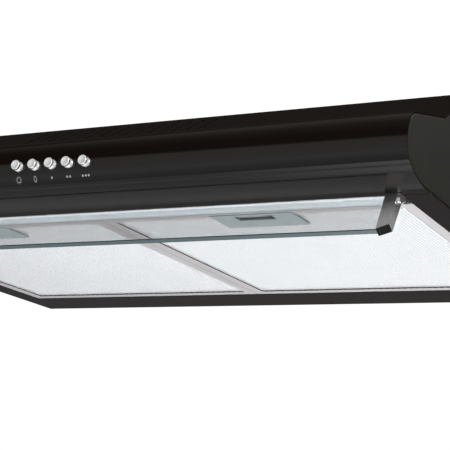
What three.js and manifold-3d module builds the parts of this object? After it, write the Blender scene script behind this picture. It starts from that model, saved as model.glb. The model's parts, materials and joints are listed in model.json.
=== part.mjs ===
// Under-cabinet range hood, 600 mm wide, built from its separate pieces.
// Millimetres. +X is to the right of a person facing the hood, +Y runs to the wall, +Z is up.
// The origin lies on the flat top, where the hood is screwed up against the cabinet.
import * as THREE from 'three';
import { mergeVertices } from 'three/addons/utils/BufferGeometryUtils.js';
import Module from 'manifold-3d';

const wasm = await Module();
wasm.setup();

// ---- driving dimensions ----
const halfWidth = 300;
const wallY = 145;             // back of the hood
const topFrontY = -142.5;      // front edge of the flat top
const notch = [-219.4, -46.1]; // where the sloping face meets the nose
const noseCentre = [-274.9, -87];
const noseRadius = 25.2;
const filterZ = -113;          // faces of the filter frames
const underZ = filterZ - 0.7;  // lower side of the sheet around them
const lipY = -245.7;           // front edge of the underside opening
const sheet = 1.2;             // steel sheet
const gap = 0.3;               // clearance between fitted pieces
const openingHalf = 277.7;     // half width of the underside opening
const openingRearY = 88;

const filterFrontY = -219;
const filterRearY = 87.6;
const filterOuterX = 277.1;
const filterInnerX = 0.4;
const filterDepth = 9;         // height of a filter cassette
const filterRim = 10;          // width of its visible frame
const meshRecess = 1.4;        // the mesh lies this far inside the frame's face

const glandPlace = [225, 112]; // where the mains cable comes in
const outletY = 76;            // centre of the duct outlet
const collarRadius = 60;
const collarWall = 2;
const collarTopZ = 34;
const flapZ = 12;              // height of the damper's pin

const blowerX = -40;           // centre of the fan wheel
const blowerY = -46;
const blowerTopZ = -3.8;
const blowerBottomZ = -90;
const blowerSplitZ = -48;
const blowerWall = 2;
const wheelRadius = 62;
const wheelBottomZ = -86;
const wheelTopZ = -46;
const bladeCount = 28;

const trayFrontY = -244;
const trayRearY = -219.8;
const trayTopZ = -84;
const tubeY = -232;
const tubeZ = -99;

const buttonPitch = 16;
const buttonMiddleX = 3.5;
const buttonRadius = 4;
const buttonRise = 5.6;        // how far a button stands out of the nose
const buttonZ = -88;           // where its axis meets the nose
const buttonTilt = THREE.MathUtils.degToRad(4);

const visorPivot = [-250.9, -117.6];
const visorTilt = THREE.MathUtils.degToRad(28); // forward of hanging straight down
const visorLength = 29.6;
const glassThickness = 4.8;
const clipInnerX = 267.2;
const glassHold = 1.9;         // how far the clip grips over the pane's end
const clipOuterX = 276.6;

const latchMiddleX = 138.7;

const paint = { color: 0x15120f, roughness: 0.25, metalness: 0.1 };
const cheekPaint = { color: 0x2c2d29, roughness: 0.5, metalness: 0.1 };
const aluminium = { color: 0xb4b6ba, roughness: 0.4, metalness: 0.9 };
const mesh = { color: 0xe0e3e6, roughness: 0.5, metalness: 0.8 };
const zinc = { color: 0x9a9da0, roughness: 0.45, metalness: 0.9 };
const chrome = { color: 0xe6e8ea, roughness: 0.1, metalness: 1 };
const opal = { color: 0xdfe6e8, roughness: 0.4, metalness: 0 };
const glass = { color: 0xbfd8dc, roughness: 0.05, metalness: 0 };
const blackPlastic = { color: 0x1b1b1c, roughness: 0.6, metalness: 0 };
const greyPlastic = { color: 0x9fa6a8, roughness: 0.5, metalness: 0 };
const whitePlastic = { color: 0xe8e8e4, roughness: 0.5, metalness: 0 };

const hood = new THREE.Group();

// ---- helpers ----
function toSolid(geometry) {
  const bare = geometry.index ? geometry.toNonIndexed() : geometry.clone();
  for (const name of Object.keys(bare.attributes)) {
    if (name !== 'position') bare.deleteAttribute(name);
  }
  const merged = mergeVertices(bare, 1e-4);
  return new wasm.Manifold(new wasm.Mesh({
    numProp: 3,
    vertProperties: new Float32Array(merged.attributes.position.array),
    triVerts: new Uint32Array(merged.index.array),
  }));
}

function toGeometry(solid) {
  const data = solid.getMesh();
  const geometry = new THREE.BufferGeometry();
  geometry.setAttribute('position', new THREE.BufferAttribute(data.vertProperties, 3));
  geometry.setIndex(new THREE.BufferAttribute(data.triVerts, 1));
  return geometry;
}

function box(x0, x1, y0, y1, z0, z1) {
  const geometry = new THREE.BoxGeometry(x1 - x0, y1 - y0, z1 - z0);
  geometry.translate((x0 + x1) / 2, (y0 + y1) / 2, (z0 + z1) / 2);
  return toSolid(geometry);
}

// a cylinder standing on z0, or a cone when a top radius is given
function post(x, y, z0, z1, radius, sides = 32, topRadius = radius) {
  const geometry = new THREE.CylinderGeometry(topRadius, radius, z1 - z0, sides);
  geometry.rotateX(Math.PI / 2);
  geometry.translate(x, y, (z0 + z1) / 2);
  return toSolid(geometry);
}

// a cylinder lying along X
function rod(x0, x1, y, z, radius, sides = 24) {
  const geometry = new THREE.CylinderGeometry(radius, radius, x1 - x0, sides);
  geometry.rotateZ(Math.PI / 2);
  geometry.translate((x0 + x1) / 2, y, z);
  return toSolid(geometry);
}

function shapeOf(points) {
  return new THREE.Shape(points.map(([a, b]) => new THREE.Vector2(a, b)));
}

function extrudeUp(points, z0, z1) {
  const geometry = new THREE.ExtrudeGeometry(shapeOf(points), { depth: z1 - z0, bevelEnabled: false });
  geometry.translate(0, 0, z0);
  return toSolid(geometry);
}

// extrudes a (Y, Z) outline along X
function extrudeAcross(points, x0, x1) {
  const geometry = new THREE.ExtrudeGeometry(shapeOf(points), { depth: x1 - x0, bevelEnabled: false });
  const turn = new THREE.Matrix4().makeBasis(
    new THREE.Vector3(0, 1, 0), new THREE.Vector3(0, 0, 1), new THREE.Vector3(1, 0, 0));
  geometry.applyMatrix4(turn);
  geometry.translate(x0, 0, 0);
  return toSolid(geometry);
}

function arc(centre, radius, startDeg, endDeg, steps) {
  const points = [];
  for (let i = 0; i <= steps; i += 1) {
    const angle = THREE.MathUtils.degToRad(startDeg + (endDeg - startDeg) * i / steps);
    points.push([centre[0] + radius * Math.cos(angle), centre[1] + radius * Math.sin(angle)]);
  }
  return points;
}

// moves an open line to its left by a distance, with mitred corners
function moveLeft(line, distance) {
  return line.map((point, i) => {
    const before = line[Math.max(i - 1, 0)];
    const after = line[Math.min(i + 1, line.length - 1)];
    const into = new THREE.Vector2(point[0] - before[0], point[1] - before[1]).normalize();
    const out = new THREE.Vector2(after[0] - point[0], after[1] - point[1]).normalize();
    if (i === 0) into.copy(out);
    if (i === line.length - 1) out.copy(into);
    const normal = new THREE.Vector2(-into.y - out.y, into.x + out.x).normalize();
    const stretch = distance / (normal.x * -into.y + normal.y * into.x);
    return [point[0] + normal.x * stretch, point[1] + normal.y * stretch];
  });
}

// a bent sheet whose outer side follows the line and whose thickness lies to its left
function bentSheet(line, thickness, x0, x1) {
  return extrudeAcross([...line, ...moveLeft(line, thickness).reverse()], x0, x1);
}

function add(name, solid, look) {
  const piece = new THREE.Mesh(toGeometry(solid), new THREE.MeshStandardMaterial(look));
  piece.name = name;
  hood.add(piece);
  return piece;
}

function mirrored(solid) {
  return solid.mirror([1, 0, 0]);
}

function union(...solids) {
  return solids.reduce((whole, solid) => whole.add(solid));
}

// ---- outline of the hood seen from its side ----
function noseLine(steps) {
  const toCentre = Math.hypot(noseCentre[0] - notch[0], noseCentre[1] - notch[1]);
  const down = Math.atan2(noseCentre[1] - notch[1], noseCentre[0] - notch[0]);
  const topTangent = down - Math.asin(noseRadius / toCentre) - Math.PI / 2;
  const start = THREE.MathUtils.radToDeg(topTangent) + 360;
  const round = arc(noseCentre, noseRadius, start % 360, 218, steps);
  const [fromY, fromZ] = round[round.length - 1];
  const curve = new THREE.QuadraticBezierCurve(
    new THREE.Vector2(fromY, fromZ), new THREE.Vector2(-279, -112.2), new THREE.Vector2(-259.5, underZ));
  const facet = curve.getPoints(5).slice(1).map((p) => [p.x, p.y]);
  return [...round, ...facet];
}

function canopy() {
  const line = [
    [wallY, underZ + sheet + gap], [wallY, 0], [topFrontY, 0], notch, [notch[0], notch[1] - 12],
  ];
  let body = bentSheet(line, sheet, -halfWidth, halfWidth);
  const flange = box(-halfWidth, halfWidth, notch[0] - 1, notch[0] + 3, notch[1] - 13, notch[1] - 1.45);
  const keep = box(-296, 296, notch[0] - 2, notch[0] + 4, notch[1] - 14, notch[1]);
  body = body.subtract(flange.subtract(keep));
  // air slots across the sloping face
  const slope = Math.atan2(-notch[1], topFrontY - notch[0]);
  for (let i = 0; i < 15; i += 1) {
    const slot = new THREE.BoxGeometry(3.2, 38.6, 12);
    slot.rotateX(slope);
    slot.translate(-110 + i * 12.8, -171, -17.1);
    body = body.subtract(toSolid(slot));
  }
  body = body.subtract(post(0, outletY, -5, 5, collarRadius + 1, 48));
  body = body.subtract(post(...glandPlace, -5, 5, 11.5, 32));
  for (const [x, y] of blowerScrewPlaces) body = body.subtract(post(x, y, -5, 5, 2.4, 12));
  for (const x of [-250, 250]) {
    for (const y of [-105, 60]) body = body.subtract(post(x, y, -5, 5, 2.75, 16));
  }
  return body;
}

function frontPanel() {
  const line = [
    [notch[0] - gap, notch[1] - 12], [notch[0] - gap, notch[1] - gap],
    ...noseLine(14), [lipY, underZ], [lipY, underZ + 9],
  ];
  let panel = bentSheet(line, sheet, -halfWidth, halfWidth);
  for (const side of [-1, 1]) {
    const outer = side * (halfWidth + 1);
    const inFlange = side * 296;
    const inHem = side * (openingHalf - 1);
    const [a, b] = [Math.min(outer, inFlange), Math.max(outer, inFlange)];
    panel = panel.subtract(box(a, b, notch[0] - 4, notch[0] + 1, notch[1] - 13, notch[1] - 1.75));
    const [c, d] = [Math.min(outer, inHem), Math.max(outer, inHem)];
    panel = panel.subtract(box(c, d, lipY - 2, lipY + 1, underZ + sheet, underZ + 12));
  }
  for (let i = -2; i <= 2; i += 1) {
    panel = panel.subtract(buttonBarrel(i, buttonRadius + 0.4, -14, 8));
  }
  return panel;
}

// the whole side outline, moved inwards, is one end cheek
function endCheek() {
  const outline = [
    [lipY, underZ], [wallY, underZ], [wallY, 0], [topFrontY, 0], notch, ...noseLine(14),
  ];
  const ring = [outline[outline.length - 1], ...outline, outline[0]];
  const inset = moveLeft(ring, sheet + 0.4).slice(1, -1);
  let cheek = extrudeAcross(inset, 297, 299.6);
  // clearance for the sheets' bends at the notch
  cheek = cheek.subtract(box(290, 301, notch[0] - 2.2, notch[0] + 2.2, notch[1] - 2.4, notch[1] + 1));
  return cheek;
}

function undersidePlate() {
  const top = underZ + sheet;
  const frontY = lipY + gap;
  const rear = box(-halfWidth, halfWidth, openingRearY, wallY, underZ, top);
  const side = box(openingHalf, halfWidth, frontY, openingRearY, underZ, top);
  const flange = box(openingHalf, openingHalf + sheet, frontY + 2, openingRearY, underZ, filterZ + 13);
  const wallFlange = box(-290, 290, wallY - 2 * sheet - gap, wallY - sheet - gap, underZ, underZ + 14);
  const sides = union(side, flange);
  return union(rear, sides, mirrored(sides), wallFlange);
}

// ---- lamp behind the diffuser ----
function lampTray() {
  const wall = 0.8;
  const outer = box(-276, 276, trayFrontY, trayRearY, filterZ, trayTopZ);
  const inner = box(-277, 277, trayFrontY + wall, trayRearY - wall, filterZ - 1, trayTopZ - wall);
  let tray = outer.subtract(inner);
  for (const x of [-latchMiddleX, latchMiddleX]) {
    tray = tray.subtract(box(x - 13, x + 13, trayRearY - 3, trayRearY + 1, filterZ + 1, filterZ + 6.5));
  }
  return tray;
}

function addLamp() {
  add('lamp_tray', lampTray(), zinc);
  add('lamp_diffuser', box(-270, 270, trayFrontY + 1.2, trayRearY - 1.1, filterZ, filterZ + 2), opal);
  add('lamp_tube', rod(-246, 246, tubeY, tubeZ, 8), glass);
  for (const [side, name] of [[-1, 'left'], [1, 'right']]) {
    const mirror = (solid) => (side < 0 ? mirrored(solid) : solid);
    const cap = union(rod(246.2, 257, tubeY, tubeZ, 8.3), rod(256, 262.6, tubeY + 2.6, tubeZ, 1.1, 10),
      rod(256, 262.6, tubeY - 2.6, tubeZ, 1.1, 10));
    add(`lamp_cap_${name}`, mirror(cap), aluminium);
    const socket = box(258, 270, trayFrontY + 2.2, trayRearY - 2.2, tubeZ - 11, trayTopZ - 1.1)
      .subtract(box(250, 263.5, tubeY - 4.4, tubeY + 4.4, tubeZ - 12, tubeZ + 2));
    add(`lamp_socket_${name}`, mirror(socket), whitePlastic);
  }
  add('ballast', box(110, 230, -276, -249, -92, -66), zinc);
}

// ---- blower ----
const blowerScrewPlaces = [[-76, 60], [76, 60], [-76, 122], [76, 122]];

// scroll with its outlet box, grown outwards by a distance
function scrollOutline(grow) {
  const points = [];
  for (let deg = 100; deg <= 360; deg += 13) {
    const radius = 70 + (deg - 100) * 0.1 + grow;
    const angle = THREE.MathUtils.degToRad(deg);
    points.push([blowerX + radius * Math.cos(angle), blowerY + radius * Math.sin(angle)]);
  }
  const right = 66 + grow;
  return [...points, [right, 6], [right, 136 + grow], [-66 - grow, 136 + grow], [-66 - grow, 26 - grow]];
}

function blowerShell(z0, z1, plateZ0, plateZ1) {
  const outer = extrudeUp(scrollOutline(0), z0, z1);
  const hollow = extrudeUp(scrollOutline(-blowerWall), z0 - 1, z1 + 1);
  const plate = extrudeUp(scrollOutline(-blowerWall / 2), plateZ0, plateZ1);
  return outer.subtract(hollow).add(plate);
}

function addBlower() {
  const lower = blowerShell(blowerBottomZ, blowerSplitZ - gap / 2, blowerBottomZ, blowerBottomZ + blowerWall)
    .subtract(post(blowerX, blowerY, blowerBottomZ - 1, blowerBottomZ + 5, 52, 48));
  add('blower_lower_shell', lower, blackPlastic);
  let upper = blowerShell(blowerSplitZ + gap / 2, blowerTopZ, blowerTopZ - blowerWall, blowerTopZ)
    .subtract(post(0, outletY, blowerTopZ - 5, blowerTopZ + 1, collarRadius - collarWall - 1, 48));
  for (const [x, y] of blowerScrewPlaces) {
    const ear = box(Math.min(x, Math.sign(x) * 65), Math.max(x, Math.sign(x) * 65), y - 6, y + 6,
      blowerTopZ - 8, blowerTopZ);
    upper = upper.add(union(ear, post(x, y, blowerTopZ - 8, blowerTopZ, 6, 16)));
  }
  for (const [x, y] of blowerScrewPlaces) {
    upper = upper.subtract(post(x, y, blowerTopZ - 12, blowerTopZ + 1, 2.4, 12));
  }
  add('blower_upper_shell', upper, blackPlastic);

  let grille = post(blowerX, blowerY, -93, -90.4, 57, 40).subtract(post(blowerX, blowerY, -94, -89, 52, 40));
  for (const radius of [34, 17]) {
    grille = grille.add(post(blowerX, blowerY, -93, -91, radius + 1.2, 32)
      .subtract(post(blowerX, blowerY, -94, -90, radius - 1.2, 32)));
  }
  grille = union(grille, box(blowerX - 54, blowerX + 54, blowerY - 1.2, blowerY + 1.2, -93, -91),
    box(blowerX - 1.2, blowerX + 1.2, blowerY - 54, blowerY + 54, -93, -91));
  add('inlet_grille', grille, blackPlastic);

  const motorFoot = post(blowerX, blowerY, blowerTopZ - 5.1, blowerTopZ - blowerWall - gap, 44, 32);
  const motor = union(motorFoot, post(blowerX, blowerY, -38, -8, 36, 32), post(blowerX, blowerY, -41, -37, 12, 24))
    .subtract(post(blowerX, blowerY, -42, -20, 4.2, 20));
  add('motor', motor, zinc);
  add('motor_shaft', post(blowerX, blowerY, -56, -21, 4, 20), zinc);
  add('fan_wheel', fanWheel(), blackPlastic);
  add('capacitor', union(post(150, 90, -44, -6, 15, 28), post(150, 90, -6.5, -3, 4, 12)), whitePlastic);
}

function fanBlade() {
  const outer = arc([0, 0], 11, 20, 120, 4);
  const inner = arc([0, 0], 10.1, 20, 120, 4).reverse();
  const geometry = new THREE.ExtrudeGeometry(shapeOf([...outer, ...inner]), {
    depth: wheelTopZ - wheelBottomZ, bevelEnabled: false });
  geometry.rotateZ(THREE.MathUtils.degToRad(-115));
  geometry.translate(wheelRadius - 8, 5, wheelBottomZ);
  return geometry;
}

function fanWheel() {
  const blade = fanBlade();
  const blades = [];
  for (let i = 0; i < bladeCount; i += 1) {
    blades.push(toSolid(blade.clone().rotateZ(2 * Math.PI * i / bladeCount)));
  }
  const rim = post(0, 0, wheelBottomZ, wheelBottomZ + 2.5, wheelRadius + 1, 48)
    .subtract(post(0, 0, wheelBottomZ - 1, wheelBottomZ + 4, wheelRadius - 9, 48));
  const disc = post(0, 0, wheelTopZ - 2, wheelTopZ, wheelRadius + 1, 48);
  const hub = post(0, 0, wheelTopZ - 12, wheelTopZ + 2, 10, 24);
  const bore = post(0, 0, wheelTopZ - 14, wheelTopZ + 4, 4.3, 20);
  return union(...blades, rim, disc, hub).subtract(bore).translate([blowerX, blowerY, 0]);
}

// ---- duct outlet with its two damper flaps ----
function addOutlet() {
  const tube = post(0, outletY, -3.5, collarTopZ, collarRadius, 48);
  const flange = post(0, outletY, -3.5, -1.5, 67, 48);
  const stops = post(0, outletY, flapZ - 5, flapZ - 3.4, collarRadius - 1, 48)
    .subtract(post(0, outletY, flapZ - 6, flapZ, collarRadius - 6, 48));
  let collar = union(tube, flange)
    .subtract(post(0, outletY, -5, collarTopZ + 1, collarRadius - collarWall, 48)).add(stops);
  collar = collar.subtract(rod(-70, 70, outletY, flapZ, 1.7, 16));
  add('outlet_collar', collar, blackPlastic);
  add('damper_pin', rod(-59.5, 59.5, outletY, flapZ, 1.5, 16), zinc);
  const plateRadius = collarRadius - collarWall - 1.6;
  const disc = post(0, outletY, flapZ - 3, flapZ - 1.8, plateRadius, 48);
  for (const [side, name, barrels] of [[-1, 'front', [[-50, -20], [20, 50]]], [1, 'rear', [[-18, 18]]]]) {
    const near = outletY + side * 3.6;
    const far = outletY + side * 70;
    let flap = disc.intersect(box(-70, 70, Math.min(near, far), Math.max(near, far), 0, 20));
    for (const [x0, x1] of barrels) {
      const arm = box(x0, x1, Math.min(outletY, outletY + side * 6), Math.max(outletY, outletY + side * 6),
        flapZ - 3, flapZ - 1.8);
      flap = union(flap, arm, rod(x0, x1, outletY, flapZ, 3, 16));
    }
    add(`damper_flap_${name}`, flap.subtract(rod(-70, 70, outletY, flapZ, 1.62, 16)), greyPlastic);
  }
  for (const [i, [x, y]] of blowerScrewPlaces.entries()) {
    // driven up from below, so that nothing stands out of the flat top
    const headZ = blowerTopZ - 8 - gap;
    const screw = union(post(x, y, headZ - 2, headZ, 3, 16, 4), post(x, y, headZ - 0.1, -0.2, 2, 12));
    add(`blower_screw_${i + 1}`, screw, zinc);
  }
}

// ---- wiring ----
function addWiring() {
  const box0 = box(186, 264, 76, 134, -40, -1.6);
  const hollow = box(188.5, 261.5, 78.5, 131.5, -41, -4);
  add('terminal_box', box0.subtract(hollow).subtract(post(...glandPlace, -5, 0, 6.2, 24)), blackPlastic);
  add('terminal_cover', box(185, 265, 75, 135, -42.6, -40.3), blackPlastic);
  // the gland stands on the terminal box, inside the hole through the top
  const gland = union(post(...glandPlace, -1.3, 4, 10.5, 6), post(...glandPlace, 3.9, 10, 8, 24, 6),
    post(...glandPlace, -3.4, -1, 5.8, 24)).subtract(post(...glandPlace, -5, 12, 3.6, 20));
  add('cable_gland', gland, blackPlastic);
}

// ---- buttons ----
// the (Y, Z) place at a distance outside the nose on a button's axis
function onButtonAxis(distance) {
  const surfaceY = noseCentre[0] - Math.sqrt(noseRadius ** 2 - (buttonZ - noseCentre[1]) ** 2);
  return [surfaceY - distance * Math.cos(buttonTilt), buttonZ + distance * Math.sin(buttonTilt)];
}

// a cylinder on a button's axis, from one distance to another outside the nose
function buttonBarrel(place, radius, inside, outside, sides = 24) {
  const geometry = new THREE.CylinderGeometry(radius, radius, outside - inside, sides);
  geometry.rotateX(-buttonTilt);
  geometry.translate(buttonMiddleX + place * buttonPitch, ...onButtonAxis((inside + outside) / 2));
  return toSolid(geometry);
}

function addButtons() {
  const names = ['button_lamp', 'button_off', 'button_speed_1', 'button_speed_2', 'button_speed_3'];
  const block = new THREE.BoxGeometry(5 * buttonPitch + 6, 22, 20);
  block.rotateX(-buttonTilt);
  block.translate(buttonMiddleX, ...onButtonAxis(-17));
  let housing = toSolid(block);
  names.forEach((name, i) => {
    housing = housing.subtract(buttonBarrel(i - 2, 3, -17, 0));
    const button = union(buttonBarrel(i - 2, buttonRadius, 0.2 - 1.5, buttonRise),
      buttonBarrel(i - 2, 2.6, -12, 0));
    add(name, button, chrome);
  });
  add('switch_housing', housing, blackPlastic);
}

// ---- visor ----
// outline points are (along, across): along runs down the visor from its pivot, across to its back
function visorPoint(along, across) {
  const y = -Math.sin(visorTilt) * along + Math.cos(visorTilt) * across;
  const z = -Math.cos(visorTilt) * along - Math.sin(visorTilt) * across;
  return [visorPivot[0] + y, visorPivot[1] + z];
}

function visorPiece(outline, x0, x1) {
  return extrudeAcross(outline.map(([along, across]) => visorPoint(along, across)), x0, x1);
}

function addVisor() {
  const clipOutline = [[-2.5, -2.5], [31.8, -2.5], [31.4, 5.6], [-2.5, 8]];
  const glassFront = -0.4;
  const slot = [
    [-1.3, glassFront - gap], [visorLength + gap, glassFront - gap],
    [visorLength + gap, glassFront + glassThickness + gap], [-1.3, glassFront + glassThickness + gap],
  ];
  // the clip's lower end is cut on a slant, shorter on its outer side
  const slant = new THREE.BoxGeometry(30, 30, 10);
  slant.rotateY(THREE.MathUtils.degToRad(-24));
  slant.rotateX(-visorTilt);
  slant.translate(clipOuterX + 2.6, ...visorPoint(visorLength + 1.2, 2));
  const clip = visorPiece(clipOutline, clipInnerX, clipOuterX)
    .subtract(toSolid(slant))
    .subtract(visorPiece(slot, clipInnerX - 1, clipInnerX + glassHold))
    .subtract(rod(clipOuterX - 3.4, clipOuterX + 1, ...visorPivot, 1.72, 16));
  const pane = visorPiece([
    [-1, glassFront], [visorLength, glassFront],
    [visorLength, glassFront + glassThickness], [-1, glassFront + glassThickness],
  ], -clipInnerX - glassHold + gap, clipInnerX + glassHold - gap);
  const ear = union(
    box(clipOuterX + 0.6, clipOuterX + 3, visorPivot[0] - 3, visorPivot[0] + 8, visorPivot[1] - 1, underZ - gap),
    rod(clipOuterX + 0.6, clipOuterX + 3, ...visorPivot, 3.5, 20),
    rod(clipOuterX - 3, clipOuterX + 1, ...visorPivot, 1.6, 16));
  for (const [name, turn] of [['left', mirrored], ['right', (solid) => solid]]) {
    add(`visor_clip_${name}`, turn(clip), chrome);
    add(`visor_bracket_${name}`, turn(ear), chrome);
  }
  add('visor_glass', pane, glass);
}

// ---- grease filters ----
function addFilters() {
  const [x0, x1, y0, y1] = [filterInnerX, filterOuterX, filterFrontY, filterRearY];
  const plateHalf = 36.4;
  const plateFrontY = -215.5;
  const plateRearY = -177;
  const wall = 1;
  const shell = box(x0, x1, y0, y1, filterZ, filterZ + filterDepth)
    .subtract(box(x0 + wall, x1 - wall, y0 + wall, y1 - wall, filterZ + wall, filterZ + 20))
    .subtract(box(x0 + filterRim, x1 - filterRim, y0 + filterRim, y1 - filterRim, filterZ - 1, filterZ + 2))
    .subtract(box(latchMiddleX - plateHalf - gap, latchMiddleX + plateHalf + gap, plateFrontY - gap,
      y0 + filterRim + 1, filterZ - 1, filterZ + 2));
  const tongueSlot = box(latchMiddleX - 11.5, latchMiddleX + 11.5, y0 - 1, y0 + 2, filterZ + 1.2, filterZ + 6.2);
  const tab = (x) => box(x - 9, x + 9, y1 - 0.5, y1 + 7, filterZ + 1.6, filterZ + 2.8);
  const frame = union(shell.subtract(tongueSlot), tab(x0 + 50), tab(x1 - 50));

  // two perforated skins joined round the edge, open only where the frame's rear wall covers them
  const fit = wall + gap;
  const skin = 1;
  const padZ0 = filterZ + meshRecess;
  const padZ1 = filterZ + filterDepth - 0.5;
  const pocket = box(latchMiddleX - 25, latchMiddleX + 25, y0 - 1, y0 + 44, filterZ, padZ1 - skin);
  const pad = box(x0 + fit, x1 - fit, y0 + fit, y1 - fit, padZ0, padZ1)
    .subtract(box(x0 + fit + skin, x1 - fit - skin, y0 + fit + skin, y1 + 1, padZ0 + skin, padZ1 - skin))
    .subtract(pocket);

  const plate = box(latchMiddleX - plateHalf, latchMiddleX + plateHalf, plateFrontY, plateRearY,
    filterZ - 0.6, filterZ + wall)
    .subtract(box(latchMiddleX - 16.5, latchMiddleX + 16.5, -210.5, -198, filterZ - 3, filterZ + 4));

  const slider = union(
    box(latchMiddleX - 22, latchMiddleX + 22, y0 + 3, y0 + 34, filterZ + 5.8, filterZ + 7),
    box(latchMiddleX - 10, latchMiddleX + 10, y0 - 0.4, -207, filterZ + 1.6, filterZ + 3.6),
    box(latchMiddleX - 13, latchMiddleX + 13, -210, -207, filterZ - 0.4, filterZ + 6),
  );
  for (const [name, turn] of [['left', mirrored], ['right', (solid) => solid]]) {
    add(`filter_frame_${name}`, turn(frame), aluminium);
    add(`filter_mesh_${name}`, turn(pad), mesh);
    add(`latch_plate_${name}`, turn(plate), greyPlastic);
    add(`latch_slider_${name}`, turn(slider), greyPlastic);
  }
}

// ---- assembly ----
add('canopy', canopy(), paint);
add('front_panel', frontPanel(), paint);
add('end_cheek_right', endCheek(), cheekPaint);
add('end_cheek_left', mirrored(endCheek()), cheekPaint);
add('underside_plate', undersidePlate(), paint);
addLamp();
addBlower();
addOutlet();
addWiring();
addButtons();
addVisor();
addFilters();

export default hood;
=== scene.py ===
import json
import math

import bpy
from mathutils import Euler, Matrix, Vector

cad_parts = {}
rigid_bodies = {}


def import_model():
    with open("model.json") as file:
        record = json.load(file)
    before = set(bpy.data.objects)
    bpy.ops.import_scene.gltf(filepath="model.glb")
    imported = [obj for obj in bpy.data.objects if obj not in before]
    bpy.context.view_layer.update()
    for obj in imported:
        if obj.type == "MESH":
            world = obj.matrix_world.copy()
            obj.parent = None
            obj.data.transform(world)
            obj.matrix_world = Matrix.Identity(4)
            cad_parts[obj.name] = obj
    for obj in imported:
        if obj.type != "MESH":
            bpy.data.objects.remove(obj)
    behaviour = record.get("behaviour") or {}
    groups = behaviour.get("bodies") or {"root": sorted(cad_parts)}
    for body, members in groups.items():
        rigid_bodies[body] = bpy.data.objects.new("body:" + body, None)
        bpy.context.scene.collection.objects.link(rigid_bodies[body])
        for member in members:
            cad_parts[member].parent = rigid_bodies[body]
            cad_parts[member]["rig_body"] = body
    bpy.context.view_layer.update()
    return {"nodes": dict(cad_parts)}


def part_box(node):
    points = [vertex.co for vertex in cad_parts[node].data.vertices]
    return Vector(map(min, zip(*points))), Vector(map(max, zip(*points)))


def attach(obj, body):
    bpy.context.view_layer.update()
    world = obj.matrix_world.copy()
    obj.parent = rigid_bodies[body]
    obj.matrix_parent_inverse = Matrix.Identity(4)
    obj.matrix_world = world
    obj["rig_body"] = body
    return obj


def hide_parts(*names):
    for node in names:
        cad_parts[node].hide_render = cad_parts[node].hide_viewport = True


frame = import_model()
mm = 0.001


def boxOf(node):
    # lowest and highest corner, in millimetres
    low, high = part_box(node)
    return low / mm, high / mm


class Wire:
    # a socket that can stand in a sum
    def __init__(self, finish, socket):
        self.finish, self.socket = finish, socket

    def sum(self, operation, first, second):
        return self.finish.add("Math", 0, {0: first, 1: second}, operation=operation)

    def __add__(self, other):
        return self.sum("ADD", self, other)

    def __sub__(self, other):
        return self.sum("SUBTRACT", self, other)

    def __rsub__(self, other):
        return self.sum("SUBTRACT", other, self)

    def __mul__(self, other):
        return self.sum("MULTIPLY", self, other)

    def above(self, other):
        return self.sum("GREATER_THAN", self, other)

    __radd__ = __add__
    __rmul__ = __mul__


class Finish:
    # a material and the nodes that feed its shader
    def __init__(self, name, fixed):
        self.material = bpy.data.materials.new(name)
        self.material.use_nodes = True
        self.tree = self.material.node_tree
        self.tree.nodes.clear()
        self.shader = self.tree.nodes.new("ShaderNodeBsdfPrincipled")
        end = self.tree.nodes.new("ShaderNodeOutputMaterial")
        self.tree.links.new(self.shader.outputs[0], end.inputs["Surface"])
        self.feed(self.shader, fixed)
        self.place = self.add("TexCoord", "Object")

    def feed(self, node, inputs):
        for key, value in inputs.items():
            if isinstance(value, Wire):
                self.tree.links.new(value.socket, node.inputs[key])
            else:
                node.inputs[key].default_value = value

    def add(self, kind, output, inputs=None, **settings):
        node = self.tree.nodes.new("ShaderNode" + kind)
        for name, value in settings.items():
            setattr(node, name, value)
        self.feed(node, inputs or {})
        return Wire(self, node.outputs[output])

    def noise(self, scale, detail=2, stretch=(1, 1, 1)):
        where = self.add("Mapping", "Vector", {"Vector": self.place, "Scale": stretch})
        return self.add("TexNoise", 0, {"Vector": where, "Scale": scale, "Detail": detail})

    def cells(self, scale, output="Distance", **settings):
        return self.add("TexVoronoi", output, {"Vector": self.place, "Scale": scale}, **settings)

    def mix(self, share, first, second):
        # sockets 0, 6 and 7 of a Mix node on colours are its factor and two colours
        colours = [c if isinstance(c, Wire) else (*c, 1) for c in (first, second)]
        return self.add("Mix", 2, {0: share, 6: colours[0], 7: colours[1]}, data_type="RGBA")

    def bump(self, height, depth):
        self.surface({"Normal": self.add("Bump", "Normal", {"Height": height, "Distance": depth})})

    def surface(self, inputs):
        self.feed(self.shader, inputs)
        return self.material


def blackEnamel():
    finish = Finish("blackEnamel", {"IOR": 1.5})
    cloud, peel, dust = finish.noise(7, 3), finish.noise(420, 2), finish.cells(900)
    colour = finish.mix(cloud, (0.0042, 0.0030, 0.0026), (0.0066, 0.0050, 0.0044))
    specks = (0.07 - dust).above(0) * finish.noise(60).above(0.6)
    finish.bump(peel, 0.000008)
    return finish.surface({
        "Base Color": finish.mix(specks * 0.25, colour, (0.12, 0.11, 0.10)),
        "Roughness": 0.08 + 0.05 * finish.noise(22, 4),
    })


def cheekEnamel():
    finish = Finish("cheekEnamel", {"IOR": 1.5, "Specular IOR Level": 0.24})
    grain = finish.noise(1500, 2)
    finish.bump(grain + finish.noise(380), 0.00001)
    return finish.surface({
        "Base Color": finish.mix(finish.noise(9, 4), (0.0085, 0.0092, 0.0068), (0.012, 0.0125, 0.0098)),
        "Roughness": 0.42 + 0.1 * finish.noise(40, 3),
    })


def rolledAluminium():
    finish = Finish("rolledAluminium", {"Metallic": 0.72})
    streaks = finish.noise(40, 4, (26, 1, 26))
    finish.bump(streaks, 0.00001)
    return finish.surface({
        "Base Color": finish.mix(finish.noise(30, 3), (0.70, 0.68, 0.69), (0.82, 0.80, 0.81)),
        "Roughness": 0.30 + 0.14 * streaks,
    })


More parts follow.
